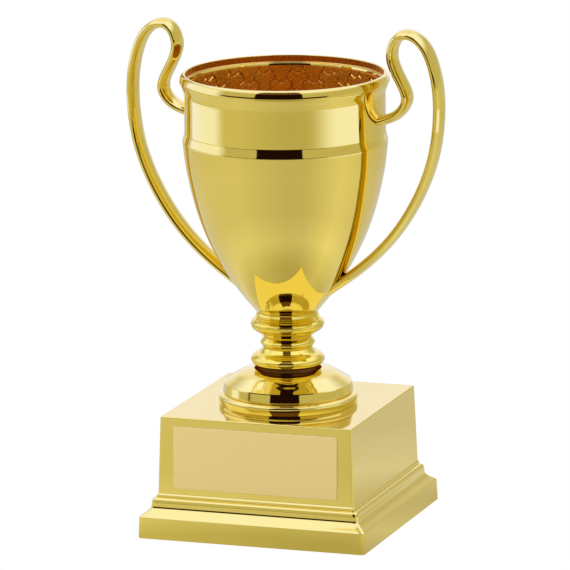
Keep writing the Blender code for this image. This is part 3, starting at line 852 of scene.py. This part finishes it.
def make_tiles(raised, painted_edge_highlight):
    """Raised tiles on the inside wall. Their plan is laid out in radians, then wrapped on the wall."""
    side = 2 * math.pi / (3 * TILES_ROUND)
    row_step = side * math.sqrt(3) / 2
    heights = wall_heights(row_step / TILE_ROW_PARTS)
    lowest, highest = min(heights), max(heights)

    def height_at(v):
        place = max(lowest + 0.001, min(highest - 1.001, v / row_step * TILE_ROW_PARTS))
        below = math.floor(place)
        return heights[below] + (heights[below + 1] - heights[below]) * (place - below)

    below_ledge = [n for n, z in heights.items() if z < LEDGE_LOW - TILES_BELOW_LEDGE]
    limit = max(below_ledge) * row_step / TILE_ROW_PARTS
    rows_down = sum(1 for n in heights if n < 0 and n % TILE_ROW_PARTS == 0 and heights[n] > TILES_LOW)
    bm = bmesh.new()
    for row in range(TILE_ROWS_ABOVE, -rows_down, -1):
        for k in range(TILES_ROUND):
            centre = Vector((math.radians(TILE_TURN) + 3 * side * (k + row / 2), row * row_step))
            plans = []
            for shrink, rise in ((TILE_GAP, -TILE_ROOT), (TILE_GAP + TILE_SLOPE, TILE_HEIGHT)):
                whole = [centre + p for p in tile_outline(side, shrink / INNER_WALL_RADIUS)]
                plans.append((clip_above(whole, limit), rise))
            root, top = plans[0][0], plans[1][0]
            if len(root) >= 3 and len(root) == len(top):
                add_tile(bm, plans, height_at)
    bmesh.ops.triangulate(bm, faces=[f for f in bm.faces if len(f.verts) > 4])
    tiles = finish_mesh("inner_wall_tiles", bm, TILE_SHARP_DEGREES)
    # The tiles' tops and bottoms take a gold with painted light against the wall and painted shade
    # against the outside
    dress(tiles, raised, "bright_gold")
    # Second material: the dull gold with painted highlights along the tiles' bevels
    tiles.data.materials.append(painted_edge_highlight)


# ---------------------------------------------------------------- handles
def handle_mesh(name, sign):
    """Flat oval strip swept along its route in the XZ plane."""
    route = fair(smooth([(x, 0, z) for x, z in HANDLE_ROUTE], HANDLE_SPAN_STEPS), HANDLE_FAIR_PASSES)
    bm = bmesh.new()
    rings = []
    for i, centre in enumerate(route):
        along = (route[min(i + 1, len(route) - 1)] - route[max(i - 1, 0)]).normalized()
        across = Vector((along.z, 0, -along.x))
        ring = []
        for k in range(HANDLE_SECTION_STEPS):
            angle = 2 * math.pi * k / HANDLE_SECTION_STEPS
            point = centre + across * HANDLE_THICKNESS / 2 * math.cos(angle)
            point.y += HANDLE_DEPTH / 2 * math.sin(angle)
            ring.append(bm.verts.new((sign * point.x, sign * point.y, point.z)))
        rings.append(ring)
    skin_rings(bm, rings, False)
    bm.faces.new(rings[0])
    bm.faces.new(rings[-1])
    return finish_mesh(name, bm)


def make_handles(gold):
    """Both handles, cut off just outside the cup."""
    core = [(ENVELOPE_CORE, CUP_BOTTOM), (ENVELOPE_CORE, LIP_TOP)]
    envelope = [(r + SEAM, z) for r, z in rounded(cup_outside() + core)]
    for side, sign in SIDES:
        handle = handle_mesh("handle_strip_" + side, sign)
        cut_away(handle, lathe("envelope", envelope, ENVELOPE_STEPS))
        dress(handle, gold, "bright_gold", "handle_" + side)


# ---------------------------------------------------------------- stem and foot
def bored(name, outside, gold, node):
    """Turned piece with the tie rod's bore through it."""
    low = outside[-1][1]
    top = outside[0][1]
    piece = lathe(name, rounded(outside + [(BORE, low), (BORE, top)]))
    dress(piece, gold, "bright_gold", node)


def grooved(outline, heights):
    """Cut fine V grooves into a downward outline at the given heights."""
    cut = [outline[0]]
    for point in outline[1:]:
        before = cut[-1]
        for height in heights:
            if point[1] < height <= before[1]:
                share = (before[1] - height) / (before[1] - point[1])
                radius = before[0] + (point[0] - before[0]) * share
                cut += [(radius, height + GROOVE_HALF_WIDTH), (radius - GROOVE_DEPTH, height),
                        (radius, height - GROOVE_HALF_WIDTH)]
        cut.append(point)
    return cut


def make_stem(gold):
    """The three turned pieces of the stem, from the top down."""
    upper = grooved(list(UPPER_COLLAR) + smooth(UPPER_RING, steps=8), UPPER_GROOVES)
    bored("stem_upper_ring", upper + list(UPPER_FOOT), gold, "upper_knop")
    bored("stem_middle_ring", smooth(MIDDLE_RING, steps=8), gold, "middle_knop")
    bored("stem_lower_ring", smooth(LOWER_RING, steps=8), gold, "lower_knop")


def make_foot(gold, dark_neck):
    """Turned foot, hollow below, with its neck under the stem in dark brown."""
    dome = smooth(FOOT_DOME, steps=10)
    outside = list(FOOT_NECK) + dome + list(FOOT_BAND) + smooth(FOOT_BEAD, steps=8)
    hollow = list(FOOT_HOLLOW) + inset(dome, FOOT_WALL)[::-1]
    bore = [(BORE, FOOT_SHOULDER - FOOT_WALL), (BORE, STEM_LOW - SEAM)]
    foot = lathe("foot_turning", rounded(outside + hollow + bore))
    dress(foot, gold, "bright_gold", "foot")
    foot.data.materials.append(dark_neck)
    for face in foot.data.polygons:
        off_the_bore = math.hypot(face.center.x, face.center.y) > (BORE + 1) * MM
        if face.center.z > FOOT_SHOULDER * MM and off_the_bore:
            face.material_index = 1


# ---------------------------------------------------------------- plinth
def make_plinth(gold):
    """Tall square box with drafted sides and a small lip at its lower edge, open below."""
    under = PLINTH_TOP - PLINTH_WALL
    low = PLINTH_LOW + SEAM
    top = [(PLINTH_HOLE_HALF, PLINTH_TOP), (PLINTH_TOP_HALF, PLINTH_TOP, PLINTH_TOP_FILLET)]
    lip = [(PLINTH_LOW_HALF + out, low + up, fillet) for out, up, fillet in PLINTH_LIP]
    inside = [(PLINTH_LOW_HALF - PLINTH_WALL, low, PLINTH_EDGE_FILLET),
              (PLINTH_TOP_HALF - PLINTH_WALL, under, PLINTH_INSIDE_FILLET), (PLINTH_HOLE_HALF, under)]
    box = square_lathe("plinth_box", rounded(top + lip + inside), PLINTH_CORNER)
    dress(box, gold, "bright_gold", "plinth_cap")


def make_skirt(gold):
    """Moulded skirt: ledge, rounded shoulder, band, cove and slab, with a seat for the cover inside."""
    upper = list(SKIRT_LEDGE) + smooth(SKIRT_SHOULDER, steps=8) + list(SKIRT_BAND)
    lower = smooth(SKIRT_COVE, steps=6) + list(SKIRT_SLAB)
    outline = rounded(upper + lower + list(SKIRT_SEAT) + list(SKIRT_INSIDE))
    skirt = square_lathe("skirt_moulding", outline, SKIRT_CORNER)
    dress(skirt, gold, "bright_gold", "plinth_skirt")


def make_nameplate(satin):
    """Blank plate with softened edges, leaning back with the plinth's draft."""
    edge = [(0.0, 0.0), (PLATE_EDGE_DRAFT, PLATE_THICKNESS, PLATE_EDGE_FILLET),
            (PLATE_WIDTH, PLATE_THICKNESS)]
    bm = bmesh.new()
    rings = []
    for inward, z in rounded(edge, 4)[:-1]:
        points = rounded_square(PLATE_WIDTH / 2 - inward, PLATE_HEIGHT / 2 - inward,
                                PLATE_CORNER - inward / 2, z)
        rings.append([bm.verts.new(p) for p in points])
    skin_rings(bm, rings, False)
    bm.faces.new(rings[0])
    bm.faces.new(rings[-1])
    plate = finish_mesh("blank_nameplate", bm)
    lean = (PLINTH_LOW_HALF - PLINTH_TOP_HALF) / (PLINTH_TOP - PLINTH_LOW)
    outward = Vector((0, -1, lean)).normalized()
    across = Vector((1, 0, 0))
    turn = Matrix((across, outward.cross(across), outward)).transposed()
    low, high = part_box("nameplate")
    back = (low + high) / 2 - outward * PLATE_BACK * MM
    plate.data.transform(Matrix.Translation(back) @ turn.to_4x4())
    dress(plate, satin, "satin_gold", "nameplate")


def finish_cad_nodes():
    """Materials for the CAD nodes that stay as they are: zinc-plated steel, apart from three."""
    steel = steel_material()
    others = {"bottom_cover": plastic_material(), "ballast_plate": iron_material(),
              "base_pad": foam_material()}
    for name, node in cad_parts.items():
        if node.hide_render:
            continue
        node.data.materials.clear()
        node.data.materials.append(others.get(name, steel))


def main():
    make_camera()
    make_stage()
    gold = gold_material("lacquered_gold", LACQUERED_GOLD)
    rich = gold_material("rich_gold", RICH_GOLD)
    # Painted shade inside the cup: darker, redder golds for the wall and the lip
    wall = gold_material("wall_gold_painted_shade", WALL_GOLD_PAINTED_SHADE)
    lip = gold_material("lip_gold_painted_shade", LIP_GOLD_PAINTED_SHADE)
    # Painted light and shade on the tiles: lighter than the wall, darker than the outside
    tiles = gold_material("tiles_gold_painted_light_and_shade", TILES_GOLD_PAINTED_LIGHT_AND_SHADE)
    # Dull gold with painted highlights for the tiles' bevels
    tile_edge_highlight_gold = gold_material("tile_edge_highlight_gold", TILE_EDGE_PAINTED_HIGHLIGHT, TILE_EDGE_HIGHLIGHT_SHADER)
    dark_neck = gold_material("dark_brown_neck", DARK_BROWN_NECK, DARK_NECK_TINT)
    make_cup(gold, wall, lip)
    make_tiles(tiles, tile_edge_highlight_gold)
    make_handles(gold)
    make_stem(rich)
    make_foot(gold, dark_neck)
    make_plinth(gold)
    make_skirt(gold)
    make_nameplate(satin_material())
    finish_cad_nodes()


main()
